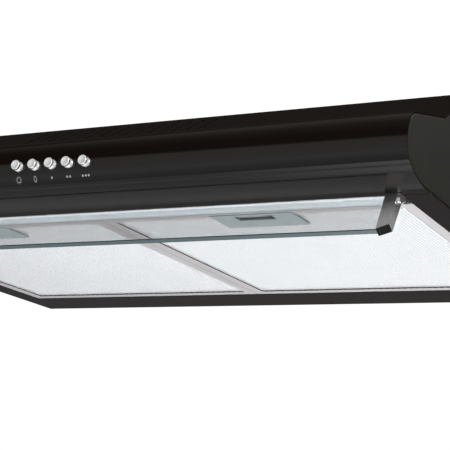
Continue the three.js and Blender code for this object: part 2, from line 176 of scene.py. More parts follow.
def meshAluminium():
    finish = Finish("meshAluminium", {"IOR": 1.5})
    worn = finish.noise(35, 5)
    finish.bump(finish.noise(1100, 2), 0.00003)
    return finish.surface({
        "Base Color": finish.mix(worn, (0.80, 0.82, 0.84), (0.92, 0.93, 0.94)),
        "Metallic": 0.15 + 0.2 * worn,
        "Roughness": 0.42 + 0.15 * finish.noise(300),
    })


def foilLayers():
    finish = Finish("foilLayers", {})
    creases = finish.cells(240, feature="DISTANCE_TO_EDGE") * 6 + finish.noise(500)
    finish.bump(creases, 0.0003)
    return finish.surface({
        "Base Color": finish.mix(finish.noise(200, 2), (0.42, 0.44, 0.46), (0.66, 0.68, 0.70)),
        "Metallic": 0.6,
        "Roughness": 0.35 + 0.2 * finish.noise(160),
    })


def foldPaintedShade():
    # a fold painted dark as shade, with short bright nicks where the perforated sheet is cut
    finish = Finish("foldPaintedShade", {"Specular IOR Level": 0.3})
    along = finish.add("SeparateXYZ", 0, {0: finish.place}) * 160
    nick = finish.add("Math", 0, {0: along}, operation="FRACT").above(0.72)
    finish.bump(finish.noise(900), 0.00002)
    return finish.surface({
        "Base Color": finish.mix(nick * finish.noise(240), (0.012, 0.012, 0.013), (0.55, 0.56, 0.58)),
        "Roughness": 0.5 + 0.2 * finish.noise(300),
    })


def zincSteel():
    finish = Finish("zincSteel", {})
    spangle = finish.cells(170, "Color")
    share = finish.add("SeparateColor", 0, {0: spangle})
    finish.bump(finish.noise(700), 0.00001)
    return finish.surface({
        "Base Color": finish.mix(share, (0.40, 0.41, 0.42), (0.58, 0.59, 0.60)),
        "Metallic": 0.9,
        "Roughness": 0.34 + 0.16 * share,
    })


def chromePlate():
    finish = Finish("chromePlate", {"Metallic": 0.74, "IOR": 1.6})
    smear = finish.noise(120, 4)
    finish.bump(finish.noise(800), 0.000004)
    return finish.surface({
        "Base Color": finish.mix(smear, (0.80, 0.79, 0.80), (0.90, 0.90, 0.91)),
        "Roughness": 0.06 + 0.12 * smear,
    })


def satinChrome():
    finish = Finish("satinChrome", {"Metallic": 0.42, "IOR": 1.6})
    smear = finish.noise(260, 3)
    finish.bump(smear, 0.000005)
    return finish.surface({
        "Base Color": finish.mix(smear, (0.88, 0.89, 0.90), (0.96, 0.96, 0.97)),
        "Roughness": 0.16 + 0.1 * smear,
    })


def opalPlastic():
    finish = Finish("opalPlastic", {"IOR": 1.49})
    cloud = finish.noise(18, 3)
    finish.bump(finish.noise(900), 0.00001)
    return finish.surface({
        "Base Color": finish.mix(cloud, (0.42, 0.47, 0.50), (0.49, 0.54, 0.57)),
        "Roughness": 0.28 + 0.1 * cloud,
    })


def visorGlass():
    finish = Finish("visorGlass", {"IOR": 1.5, "Transmission Weight": 1.0, "Alpha": 0.24})
    smear = finish.noise(30, 5)
    return finish.surface({
        "Base Color": finish.mix(smear, (0.78, 0.91, 0.94), (0.82, 0.93, 0.96)),
        "Roughness": 0.002 + 0.006 * smear,
    })


def glassEdge():
    finish = Finish("glassEdge", {"IOR": 1.5})
    grind = finish.noise(1400, 2, (0.2, 1, 1))
    finish.bump(grind, 0.00002)
    return finish.surface({
        "Base Color": finish.mix(grind, (0.05, 0.075, 0.088), (0.085, 0.118, 0.132)),
        "Roughness": 0.25 + 0.15 * grind,
    })


def glassCorner():
    finish = Finish("glassCorner", {"IOR": 1.5})
    return finish.surface({
        "Base Color": finish.mix(finish.noise(300), (0.004, 0.018, 0.022), (0.008, 0.030, 0.036)),
        "Roughness": 0.08 + 0.05 * finish.noise(80),
    })


def lampGlass():
    finish = Finish("lampGlass", {"IOR": 1.5, "Coat Weight": 0.4})
    across = finish.add("SeparateXYZ", 0, {0: finish.place})
    away = finish.add("Math", 0, {0: across}, operation="ABSOLUTE")
    burnt = (away - 0.222) * 38  # the coating darkens towards the cathodes
    share = finish.add("Clamp", 0, {0: burnt})
    finish.bump(finish.noise(900), 0.000004)
    return finish.surface({
        "Base Color": finish.mix(share * 0.7, (0.84, 0.86, 0.84), (0.30, 0.29, 0.28)),
        "Roughness": 0.12 + 0.1 * finish.noise(40),
    })


def plastic(name, dark, light, roughness, shine=0.5):
    finish = Finish(name, {"IOR": 1.46, "Specular IOR Level": shine})
    grain = finish.noise(1600, 2)
    finish.bump(grain, 0.00002)
    return finish.surface({
        "Base Color": finish.mix(finish.noise(50, 3), dark, light),
        "Roughness": roughness + 0.12 * grain,
    })


looks = {
    "blackEnamel": blackEnamel(),
    "cheekEnamel": cheekEnamel(),
    "rolledAluminium": rolledAluminium(),
    "meshAluminium": meshAluminium(),
    "foilLayers": foilLayers(),
    "foldPaintedShade": foldPaintedShade(),
    "zincSteel": zincSteel(),
    "chromePlate": chromePlate(),
    "satinChrome": satinChrome(),
    "opalPlastic": opalPlastic(),
    "visorGlass": visorGlass(),
    "glassEdge": glassEdge(),
    "glassCorner": glassCorner(),
    "lampGlass": lampGlass(),
    "blackPlastic": plastic("blackPlastic", (0.014, 0.014, 0.015), (0.022, 0.022, 0.023), 0.42),
    "deepBlack": plastic("deepBlack", (0.0010, 0.0010, 0.0010), (0.0018, 0.0018, 0.0018), 0.7, 0.1),
    "greyPlastic": plastic("greyPlastic", (0.25, 0.29, 0.30), (0.31, 0.35, 0.36), 0.38),
    "whitePlastic": plastic("whitePlastic", (0.70, 0.70, 0.67), (0.78, 0.78, 0.75), 0.35),
    "printedInk": plastic("printedInk", (0.40, 0.40, 0.39), (0.52, 0.52, 0.50), 0.5),
}
print("finishes ready")


def choose(piece=None):
    if bpy.context.object and bpy.context.object.mode != "OBJECT":
        bpy.ops.object.mode_set(mode="OBJECT")
    bpy.ops.object.select_all(action="DESELECT")
    if piece:
        piece.select_set(True)
        bpy.context.view_layer.objects.active = piece


def openUp(piece, selected=True):
    choose(piece)
    bpy.ops.object.mode_set(mode="EDIT")
    bpy.ops.mesh.select_mode(type="VERT")
    bpy.ops.mesh.select_all(action="SELECT" if selected else "DESELECT")


def close():
    bpy.ops.object.mode_set(mode="OBJECT")
    return bpy.context.object


def modify(piece, kind, **settings):
    choose(piece)
    modifier = piece.modifiers.new(kind.title(), kind)
    for name, value in settings.items():
        setattr(modifier, name, value)
    bpy.ops.object.modifier_apply(modifier=modifier.name)


def bake(piece):
    choose(piece)
    bpy.ops.object.transform_apply(location=True, rotation=True, scale=True)
    return piece


def soften(piece, width, segments=2, angle=38):
    modify(piece, "BEVEL", width=width * mm, segments=segments, limit_method="ANGLE",
           angle_limit=math.radians(angle))


def pull(offset):
    bpy.ops.mesh.extrude_region_move(TRANSFORM_OT_translate={"value": Vector(offset) * mm})


def drawLine(points, name):
    # one vertex, extruded from point to point; points in millimetres
    choose()
    bpy.ops.mesh.primitive_plane_add(size=0.001, location=Vector(points[0]) * mm)
    piece = bpy.context.object
    piece.name = name
    openUp(piece)
    bpy.ops.mesh.merge(type="CENTER")
    for before, after in zip(points, points[1:]):
        step = (Vector(after) - Vector(before)) * mm
        bpy.ops.mesh.extrude_vertices_move(TRANSFORM_OT_translate={"value": step})
    bpy.ops.mesh.select_all(action="SELECT")
    return piece


def bentSheet(name, line, thickness, x0, x1):
    # a (Y, Z) line pulled across the hood, with its thickness laid on the inner side
    piece = drawLine([(x0, y, z) for y, z in line], name)
    pull((x1 - x0, 0, 0))
    bake(close())
    first = piece.data.polygons[0]
    inside = Vector((0, -0.05, -0.06)) - first.center
    if first.normal.dot(inside) > 0:
        openUp(piece)
        bpy.ops.mesh.flip_normals()
        close()
    modify(piece, "SOLIDIFY", thickness=thickness * mm, offset=-1, use_even_offset=True)
    return piece


def turned(name, line, steps=40):
    # (radius, height) points spun round Z
    drawLine([(r, 0, h) for r, h in line], name)
    bpy.ops.mesh.spin(steps=steps, angle=math.tau, center=(0, 0, 0), axis=(0, 0, 1))
    bpy.ops.mesh.select_all(action="SELECT")
    bpy.ops.mesh.remove_doubles(threshold=0.000005)
    bpy.ops.mesh.normals_make_consistent(inside=False)
    return bake(close())


def block(name, low, high):
    choose()
    low, high = Vector(low) * mm, Vector(high) * mm
    bpy.ops.mesh.primitive_cube_add(size=1, location=(low + high) / 2, scale=high - low)
    piece = bake(bpy.context.object)
    piece.name = name
    return piece


def post(name, x, y, z0, z1, radius, sides=40):
    choose()
    bpy.ops.mesh.primitive_cylinder_add(vertices=sides, radius=radius * mm, depth=(z1 - z0) * mm,
                                        location=Vector((x, y, (z0 + z1) / 2)) * mm)
    piece = bake(bpy.context.object)
    piece.name = name
    return piece


def turn(piece, degrees, centre=(0, 0, 0)):
    # turns a piece round X about a point in millimetres
    piece.rotation_mode = "XYZ"
    piece.rotation_euler = Euler((math.radians(degrees), 0, 0))
    pivot = Vector(centre) * mm
    piece.location = pivot - piece.rotation_euler.to_matrix() @ pivot
    return bake(piece)


def move(piece, offset):
    piece.location = Vector(offset) * mm
    return bake(piece)


def joined(pieces, name):
    choose()
    for piece in pieces:
        piece.select_set(True)
    bpy.context.view_layer.objects.active = pieces[0]
    if len(pieces) > 1:
        bpy.ops.object.join()
    pieces[0].name = name
    return bake(pieces[0])


def cut(piece, cutters):
    cutter = joined(cutters, "cutter")
    modify(piece, "BOOLEAN", operation="DIFFERENCE", object=cutter, solver="EXACT", use_self=True)
    bpy.data.objects.remove(cutter)


def finished(piece, name, look, body, nodes=(), angle=32):
    choose(piece)
    bpy.ops.object.shade_smooth_by_angle(angle=math.radians(angle))
    modify(piece, "WEIGHTED_NORMAL", keep_sharp=True, weight=100)
    piece.name = piece.data.name = name
    if look:
        piece.data.materials.clear()
        piece.data.materials.append(looks[look])
    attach(piece, body)
    if nodes:
        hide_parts(*nodes)
    return piece


def secondLook(piece, look, wanted):
    # gives another finish to the faces that pass a test; centres in millimetres
    piece.data.materials.append(looks[look])
    for face in piece.data.polygons:
        if wanted(face.center / mm, face.normal):
            face.material_index = 1


def filleted(line, radius, steps=5):
    # rounds the corners of an open (Y, Z) line
    out = [line[0]]
    for before, corner, after in zip(line, line[1:], line[2:]):
        b, c, a = (Vector((*p, 0)) for p in (before, corner, after))
        into, away = (b - c).normalized(), (a - c).normalized()
        half = into.angle(away) / 2
        reach = min(radius / math.tan(half), (b - c).length * 0.45, (a - c).length * 0.45)
        for i in range(steps + 1):
            t = i / steps
            p = c + into * reach * (1 - t) ** 2 + away * reach * t ** 2
            out.append((p.x, p.y))
    return out + [line[-1]]


shell = {
    "sheet": 1.2, "bend": 2.4,
    "topFrontY": -142.5, "notch": (-219.4, -46.1),
    "noseCentre": (-274.9, -87), "noseRadius": 25.2, "noseEnd": 218, "noseSteps": 56,
    "chinCorner": (-279, -112.2), "chinEnd": -259.5, "chinSteps": 44,
    "canopyHem": 12, "backGap": 0.3, "panelHem": 11.7, "panelBend": 1.4, "lipHeight": 9, "lipBend": 1.6,
    "hemEndX": 276.7, "flangeEndX": 296, "cheekEdge": 1.6,
    "grooveFrom": 4.4, "grooveWidth": 6.8, "grooveDepth": 0.4, "grooveShoulder": 0.7,
}
canopyHigh = boxOf("canopy")[1]
panelLow, panelHigh = boxOf("front_panel")
halfWidth, wallY, underZ = canopyHigh.x, canopyHigh.y, panelLow.z
lipY = boxOf("lamp_tray")[0].y - 1.7  # front edge of the underside opening


def noseLine():
    cy, cz = shell["noseCentre"]
    toY, toZ = cy - shell["notch"][0], cz - shell["notch"][1]
    tangent = math.atan2(toZ, toY) - math.asin(shell["noseRadius"] / math.hypot(toY, toZ))
    start = math.degrees(tangent - math.pi / 2) % 360
    points = []
    for i in range(shell["noseSteps"] + 1):
        a = math.radians(start + (shell["noseEnd"] - start) * i / shell["noseSteps"])
        points.append((cy + shell["noseRadius"] * math.cos(a), cz + shell["noseRadius"] * math.sin(a)))
    (y0, z0), (y1, z1), (y2, z2) = points[-1], shell["chinCorner"], (shell["chinEnd"], underZ)
    for i in range(1, shell["chinSteps"] + 1):
        t = i / shell["chinSteps"]
        points.append(((1 - t) ** 2 * y0 + 2 * t * (1 - t) * y1 + t * t * y2,
                       (1 - t) ** 2 * z0 + 2 * t * (1 - t) * z1 + t * t * z2))
    return points


def pressGroove(points):
    # sinks the line a little over a short stretch of the chin
    out, run = [], 0
    for i, (y, z) in enumerate(points):
        if i >= shell["noseSteps"]:
            before, after = points[i - 1], points[min(i + 1, len(points) - 1)]
            if i > shell["noseSteps"]:
                run += math.dist(before, points[i])
            dy, dz = after[0] - before[0], after[1] - before[1]
            length = math.hypot(dy, dz)
            into = run - shell["grooveFrom"]
            step = into / shell["grooveShoulder"]
            back = (shell["grooveWidth"] - into) / (shell["grooveWidth"] - shell["grooveShoulder"])
            depth = shell["grooveDepth"] * max(min(step, back), 0)
            y, z = y - dz / length * depth, z + dy / length * depth
        out.append((y, z))
    return out


slots = {
    "count": 15, "firstX": -110, "pitch": 12.8, "width": 3.2, "length": 38.6, "y": -171, "z": -17.1,
    "cutHalf": 6, "endRound": 0.96, "wallFacing": 0.5,
}
roundHoles = {  # places, radius and sides
    "collar": ([(0, 76)], 61, 72),
    "cableGland": ([(225, 112)], 11.5, 32),
    "blowerScrews": ([(x, y) for x in (-76, 76) for y in (60, 122)], 2.4, 16),
    "cabinetScrews": ([(x, y) for x in (-250, 250) for y in (-105, 60)], 2.75, 20),
}


def slotCutter(x, slope):
    y, z = slots["y"], slots["z"]
    halfX, halfY, halfZ = slots["width"] / 2, slots["length"] / 2, slots["cutHalf"]
    cutter = block("slot", (x - halfX, y - halfY, z - halfZ), (x + halfX, y + halfY, z + halfZ))
    openUp(cutter, False)
    bpy.ops.mesh.select_mode(type="EDGE")
    close()
    for edge in cutter.data.edges:  # the four upright edges
        a, b = (cutter.data.vertices[v].co for v in edge.vertices)
        edge.select = abs(a.z - b.z) > halfZ * mm
    bpy.ops.object.mode_set(mode="EDIT")
    bpy.ops.mesh.bevel(offset=halfX * slots["endRound"] * mm, segments=5, affect="EDGES")
    close()
    return turn(cutter, slope, (x, y, z))


def makeCanopy():
    sheet, (notchY, notchZ) = shell["sheet"], shell["notch"]
    line = [(wallY, underZ + sheet + shell["backGap"]), (wallY, 0), (shell["topFrontY"], 0),
            (notchY, notchZ), (notchY, notchZ - shell["canopyHem"])]
    piece = bentSheet("canopy_sheet", filleted(line, shell["bend"]), sheet, -halfWidth, halfWidth)
    slope = math.degrees(math.atan2(-notchZ, shell["topFrontY"] - notchY))
    cutters = [slotCutter(slots["firstX"] + i * slots["pitch"], slope) for i in range(slots["count"])]
    for places, radius, sides in roundHoles.values():
        cutters += [post("hole", x, y, -5, 5, radius, sides) for x, y in places]
    for side in (-1, 1):  # the flange stops short of the cheeks
        x0, x1 = sorted((side * (halfWidth + 1), side * shell["flangeEndX"]))
        low, high = (x0, notchY - 1, notchZ - 13), (x1, notchY + 3, notchZ - 1.45)
        cutters.append(block("flangeEnd", low, high))
    cut(piece, cutters)
    soften(piece, 0.25, 2, 50)
    finished(piece, "canopy_sheet", "blackEnamel", "hood_body", ["canopy"])
    # painted shade: the walls of the slots are coloured near black to stand for the shade inside them
    secondLook(piece, "deepBlack", lambda centre, normal: abs(normal.x) > slots["wallFacing"]
               and abs(centre.y - slots["y"]) < slots["length"] / 2)


buttons = {
    "names": ["lamp", "off", "speed_1", "speed_2", "speed_3"],
    "middleX": 3.5, "pitch": 16, "z": -88, "tilt": 4, "radius": 4, "barrel": (-14, 8), "barrelGap": 0.4,
    # (radius, height) from the dished face down to the stem
    "line": [(0, 4.6), (0.8, 4.66), (1.6, 4.85), (2.3, 5.13), (2.9, 5.44), (3.15, 5.57), (3.4, 5.6),
             (3.7, 5.5), (3.92, 5.2), (4, 4.95), (3.5, 4.85), (3.5, 3.65), (4, 3.55), (4, 1.2),
             (3.9, 1.1), (3.9, 0.8), (4, 0.7), (4, -1.1), (3.8, -1.3), (2.6, -1.3), (2.6, -11.7),
             (2.3, -12), (0, -12)],
    "grooveRise": (3.57, 4.93), "grooveRadius": (3.3, 3.97),
}


def buttonPlace(i):
    cy, cz = shell["noseCentre"]
    y = cy - math.sqrt(shell["noseRadius"] ** 2 - (buttons["z"] - cz) ** 2)
    return Vector((buttons["middleX"] + i * buttons["pitch"], y, buttons["z"]))


def makeFrontPanel():
    sheet, top, nose = shell["sheet"], panelHigh.z, noseLine()
    hem = [(panelHigh.y, top - shell["panelHem"]), (panelHigh.y, top), nose[0]]
    lip = [(shell["chinEnd"] + 2, underZ), (lipY, underZ), (lipY, underZ + shell["lipHeight"])]
    line = filleted(hem, shell["panelBend"])[:-1] + pressGroove(nose) + filleted(lip, shell["lipBend"])
    piece = bentSheet("front_panel_sheet", line, sheet, -halfWidth, halfWidth)
    cutters = []
    for side in (-1, 1):  # hem and flange stop short of the cheeks
        x0, x1 = sorted((side * (halfWidth + 1), side * shell["hemEndX"]))
        cutters.append(block("hemEnd", (x0, lipY - 2, underZ + sheet), (x1, lipY + 1, underZ + 12)))
        x0, x1 = sorted((side * (halfWidth + 1), side * shell["flangeEndX"]))
        low, high = (x0, panelHigh.y - 3, top - 13), (x1, panelHigh.y + 1, top - 1.6)
        cutters.append(block("flangeEnd", low, high))
    for i in range(-2, 3):
        barrel = post("barrel", 0, 0, *buttons["barrel"], buttons["radius"] + buttons["barrelGap"])
        turn(barrel, 90 - buttons["tilt"])
        cutters.append(move(barrel, buttonPlace(i)))
    cut(piece, cutters)
    soften(piece, 0.3, 2, 50)
    return finished(piece, "front_panel_sheet", "blackEnamel", "hood_body",
                    ["front_panel"])


def makeCheeks():
    outline = [(lipY, underZ), (wallY, underZ), (wallY, 0), (shell["topFrontY"], 0), shell["notch"]]
    outline += noseLine()
    for side, name in ((-1, "left"), (1, "right")):
        low, high = boxOf(f"end_cheek_{name}")
        inner, outer = (low.x, high.x) if side > 0 else (high.x, low.x)
        piece = drawLine([(inner, y, z) for y, z in outline], "cheek")
        bpy.ops.mesh.edge_face_add()
        bpy.ops.mesh.inset(thickness=shell["cheekEdge"] * mm, depth=0)
        bpy.ops.mesh.select_all(action="INVERT")  # the ring outside the inset goes
        bpy.ops.mesh.delete(type="VERT")
        bpy.ops.mesh.select_all(action="SELECT")
        pull((outer - inner, 0, 0))
        bpy.ops.mesh.select_all(action="SELECT")
        bpy.ops.mesh.normals_make_consistent(inside=False)
        close()
        bake(piece)
        soften(piece, 0.7, 3, 60)
        finished(piece, f"end_cheek_{name}_panel", "cheekEnamel", "hood_body",
                 [f"end_cheek_{name}"])


def makeButtons():
    tilt = math.radians(buttons["tilt"])
    outward = Vector((0, -math.cos(tilt), math.sin(tilt)))

    def inGroove(centre, place):
        out = centre - place
        rise = out.dot(outward)
        (lowRise, highRise), (inner, outer) = buttons["grooveRise"], buttons["grooveRadius"]
        return lowRise < rise < highRise and inner < (out - outward * rise).length < outer

    for i, name in enumerate(buttons["names"]):
        piece, place = turned("button", buttons["line"]), buttonPlace(i - 2)
        turn(piece, 90 - buttons["tilt"])
        move(piece, place)
        finished(piece, f"button_{name}_cap", "satinChrome", f"key_{name}",
                 [f"button_{name}"], 40)
        # painted shade: the faces in the groove behind the rim are coloured near black
        secondLook(piece, "deepBlack", lambda centre, normal: inGroove(centre, place))


symbols = {
    "z": -98.3, "x": 3.3, "lamp": 2.1, "lampWidth": 0.42, "rays": 8, "rayAt": 2.75, "rayRadius": 0.2,
    "off": 1.35, "offWidth": 0.4, "offTall": 1.8, "dot": 0.85, "dotPitch": 2.8,
}


def symbolDisc(x, z, radius, width=0, tall=1.0):
    # a flat dot, or a ring when it has a width, facing forward
    choose()
    fill = "NOTHING" if width else "NGON"
    bpy.ops.mesh.primitive_circle_add(vertices=28, radius=radius * mm, fill_type=fill,
                                      location=(0, 0, 0), rotation=(math.pi / 2, 0, 0))
    piece = bpy.context.object
    openUp(piece)
    if width:
        bpy.ops.mesh.extrude_region_move()
        share = 1 - width / radius
        bpy.ops.transform.resize(value=(share, share, share))
    else:
        bpy.ops.mesh.inset(thickness=radius * 0.4 * mm)
    close()
    piece.scale = (1, tall, 1)
    bake(piece)
    return move(piece, (x, -halfWidth, z))  # in front of the nose, which it is then pressed on


def makeSymbols(panel):
    s, z = symbols, symbols["z"]
    places = [s["x"] + i * buttons["pitch"] for i in range(-2, 3)]
    marks = [symbolDisc(places[0], z, s["lamp"], s["lampWidth"]),
             symbolDisc(places[1], z, s["off"], s["offWidth"], s["offTall"])]
    for step in range(s["rays"]):  # short rays round the lamp's ring
        a = math.tau * step / s["rays"]
        x = places[0] + s["rayAt"] * math.cos(a)
        marks.append(symbolDisc(x, z + s["rayAt"] * math.sin(a), s["rayRadius"]))
    for count, x in enumerate(places[2:], 1):
        for k in range(count):
            marks.append(symbolDisc(x + (k - (count - 1) / 2) * s["dotPitch"], z, s["dot"]))
    piece = joined(marks, "symbols")
    modify(piece, "SHRINKWRAP", target=panel, wrap_method="PROJECT", use_project_y=True,
           use_positive_direction=True, use_negative_direction=True, offset=0.00004)
    openUp(piece)
    bpy.ops.mesh.normals_make_consistent(inside=False)
    close()
    if sum(p.normal.y for p in piece.data.polygons) > 0:
        openUp(piece)
        bpy.ops.mesh.flip_normals()
        close()
    finished(piece, "button_symbols", "printedInk", "hood_body")


ribs = {"pitch": 1.37, "depth": 0.25, "margin": 0.4}


def makeDiffuser():
    low, high = boxOf("lamp_diffuser")
    margin = ribs["margin"]
    count = int((high.y - low.y) / ribs["pitch"])
    line = [(low.y, high.z), (low.y, low.z)]
    for i in range(count):
        y = low.y + margin + i * (high.y - low.y - 2 * margin) / count
        line += [(y, low.z), (y + ribs["pitch"] / 2, low.z + ribs["depth"])]
    line += [(high.y - margin, low.z), (high.y, low.z), (high.y, high.z)]
    piece = drawLine([(low.x, y, z) for y, z in line], "diffuser")
    bpy.ops.mesh.edge_face_add()
    bpy.ops.mesh.select_all(action="SELECT")
    pull((high.x - low.x, 0, 0))
    bpy.ops.mesh.select_all(action="SELECT")
    bpy.ops.mesh.remove_doubles(threshold=0.000005)
    bpy.ops.mesh.normals_make_consistent(inside=False)
    close()
    finished(bake(piece), "lamp_diffuser_lens", "opalPlastic", "hood_body",
             ["lamp_diffuser"], 20)


visor = {
    "pivot": (-250.9, -117.6), "tilt": 28, "along": (-1, 29.6), "across": (-0.4, 4.4), "chamfer": 0.5,
    "clipBreak": 0.45, "darkEndFrom": 24, "darkEndFacing": 0.85,
}


def makeGlass():
    low, high = boxOf("visor_glass")
    (a0, a1), (c0, c1) = visor["along"], visor["across"]
    py, pz = visor["pivot"]
    piece = block("pane", (low.x, py + c0, pz - a1), (high.x, py + c1, pz - a0))
    openUp(piece)
    bpy.ops.mesh.bevel(offset=visor["chamfer"] * mm, segments=2, affect="EDGES")
    close()
    for look in ("visorGlass", "glassEdge", "glassCorner"):
        piece.data.materials.append(looks[look])
    for face in piece.data.polygons:
        down, ahead = -face.normal.z, -face.normal.y
        if down > 0.95 or abs(face.normal.x) > 0.9:
            face.material_index = 1  # lower edge and ends
        elif down > 0.2 and abs(ahead) > 0.2:
            face.material_index = 2  # lower chamfers
    turn(piece, -visor["tilt"], (0, py, pz))
    finished(piece, "visor_pane", None, "visor", ["visor_glass"], 5)


def makeClips():
    # bright plated clips, whose downward-facing faces at the lower end are coloured near black
    pivot = Vector((0, *visor["pivot"]))
    down = Euler((-math.radians(visor["tilt"]), 0, 0)).to_matrix() @ Vector((0, 0, -1))
    for side in ("left", "right"):
        piece = refined(f"visor_clip_{side}", "chromePlate", "visor", visor["clipBreak"])
        secondLook(piece, "deepBlack", lambda centre, normal: normal.dot(down) > visor["darkEndFacing"]
                   and (centre - pivot).dot(down) > visor["darkEndFrom"])


weave = {
    "pitch": 3.6, "hole": 1.12, "margin": 2, "latchOverlap": 3,
    "layerLift": 1.3, "layerGap": 0.5, "roofOverLatch": 0.6,
}


def meshCell(z):
    # a six-sided piece of sheet with a round hole
    choose()
    across = weave["pitch"] / 2 / math.cos(math.pi / 6)
    bpy.ops.mesh.primitive_circle_add(vertices=6, radius=across * mm, fill_type="NGON",
                                      location=(0, 0, z * mm))
    cell = bpy.context.object
    openUp(cell)
    bpy.ops.mesh.inset(thickness=(weave["pitch"] / 2 - weave["hole"]) * mm)
    bpy.ops.mesh.delete(type="FACE")
    return bake(close())


def perforatedSheet(x0, x1, y0, y1, z):
    pitchX, pitchY = weave["pitch"] * math.sqrt(3) / 2, weave["pitch"]
    first, second = meshCell(z), meshCell(z)
    move(second, (pitchX, pitchY / 2, 0))
    sheet = joined([first, second], "skin")
    nx, ny = int((x1 - x0) / pitchX / 2), int((y1 - y0) / pitchY)
    modify(sheet, "ARRAY", count=ny, use_relative_offset=False, use_constant_offset=True,
           constant_offset_displace=(0, pitchY * mm, 0))
    modify(sheet, "ARRAY", count=nx, use_relative_offset=False, use_constant_offset=True,
           constant_offset_displace=(2 * pitchX * mm, 0, 0))
    openUp(sheet)
    bpy.ops.mesh.remove_doubles(threshold=0.00002)
    close()
    startX = (x0 + x1) / 2 - (2 * nx - 1) * pitchX / 2
    startY = (y0 + y1) / 2 - (ny - 0.5) * pitchY / 2
    return move(sheet, (startX, startY, 0))


def makeFilter(side):
    low, high = boxOf(f"filter_mesh_{side}")
    plateLow, plateHigh = boxOf(f"latch_plate_{side}")
    margin, overlap, gap = weave["margin"], weave["latchOverlap"], weave["layerGap"]
    skin = perforatedSheet(low.x + margin, high.x - margin, low.y + margin, high.y - margin, low.z)
    openUp(skin, False)
    close()
    for vertex in skin.data.vertices:  # open behind the latch
        x, y = vertex.co.x / mm, vertex.co.y / mm
        vertex.select = plateLow.x + overlap < x < plateHigh.x - overlap and y < plateHigh.y - overlap
    bpy.ops.object.mode_set(mode="EDIT")
    bpy.ops.mesh.delete(type="VERT")
    close()
    if skin.data.polygons[0].normal.z > 0:
        openUp(skin)
        bpy.ops.mesh.flip_normals()
        close()
    finished(skin, f"filter_skin_{side}", "meshAluminium", f"filter_{side}",
             [f"filter_mesh_{side}"])
    core = block("core", (low.x + gap, low.y + gap, low.z + weave["layerLift"]),
                 (high.x - gap, high.y - gap, high.z))
    roomLow = (plateLow.x, low.y - 5, low.z - 5)
    roomHigh = (plateHigh.x, plateHigh.y + 1, high.z - weave["roofOverLatch"])
    cut(core, [block("latchRoom", roomLow, roomHigh)])
    soften(core, 0.4, 2)
    finished(core, f"filter_layers_{side}", "foilLayers", f"filter_{side}")


folds = {"break": 0.2, "flatness": 0.3, "height": 1.5}


def makeFrames():
    # the folded inner walls round the mesh get a painted shade
    for side in ("left", "right"):
        low, high = boxOf(f"filter_mesh_{side}")
        middle, wallTop = (low + high) / 2, low.z + folds["height"]
        piece = refined(f"filter_frame_{side}", "rolledAluminium", f"filter_{side}",
                        folds["break"])
        secondLook(piece, "foldPaintedShade", lambda centre, normal: (middle - centre).dot(normal) > 0
                   and abs(normal.z) < folds["flatness"] and centre.z < wallTop)


def refined(node, look, body, width):
    # a node's own shape, its edges broken by a bevel of this width
    source = frame["nodes"][node]
    piece = source.copy()
    piece.data = source.data.copy()
    for key in list(piece.keys()):
        del piece[key]
    piece.parent = None
    bpy.context.scene.collection.objects.link(piece)
    openUp(piece)
    bpy.ops.mesh.remove_doubles(threshold=0.000002)
    bpy.ops.mesh.dissolve_limited(angle_limit=math.radians(1))
    close()
    if width:
        soften(piece, width)
    return finished(piece, node + "_part", look, body, [node])


plainParts = {
    "underside_plate": ("blackEnamel", 0.25), "lamp_tray": ("zincSteel", 0.15),
    "lamp_tube": ("lampGlass", 0.8),
    "lamp_cap_left": ("rolledAluminium", 0.25), "lamp_cap_right": ("rolledAluminium", 0.25),
    "lamp_socket_left": ("whitePlastic", 0.5), "lamp_socket_right": ("whitePlastic", 0.5),
    "ballast": ("zincSteel", 0.8), "blower_lower_shell": ("blackPlastic", 0.3),
    "blower_upper_shell": ("blackPlastic", 0.3), "inlet_grille": ("blackPlastic", 0.3),
    "fan_wheel": ("blackPlastic", 0), "motor": ("zincSteel", 0.8), "motor_shaft": ("zincSteel", 0.4),
    "capacitor": ("whitePlastic", 0.8), "outlet_collar": ("blackPlastic", 0.3),
    "damper_flap_front": ("greyPlastic", 0.2), "damper_flap_rear": ("greyPlastic", 0.2),
    "damper_pin": ("zincSteel", 0.2), "blower_screw_1": ("zincSteel", 0.2),
    "blower_screw_2": ("zincSteel", 0.2), "blower_screw_3": ("zincSteel", 0.2),
    "blower_screw_4": ("zincSteel", 0.2), "terminal_box": ("blackPlastic", 0.5),
    "terminal_cover": ("blackPlastic", 0.4), "cable_gland": ("blackPlastic", 0.3),
    "switch_housing": ("blackPlastic", 0.5), "visor_bracket_left": ("chromePlate", 0.3),
    "visor_bracket_right": ("chromePlate", 0.3), "latch_plate_left": ("greyPlastic", 0.3),
    "latch_plate_right": ("greyPlastic", 0.3), "latch_slider_left": ("greyPlastic", 0.3),
    "latch_slider_right": ("greyPlastic", 0.3),
}


def makePlainParts():
    for node, (look, width) in plainParts.items():
        refined(node, look, frame["nodes"][node]["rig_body"], width)


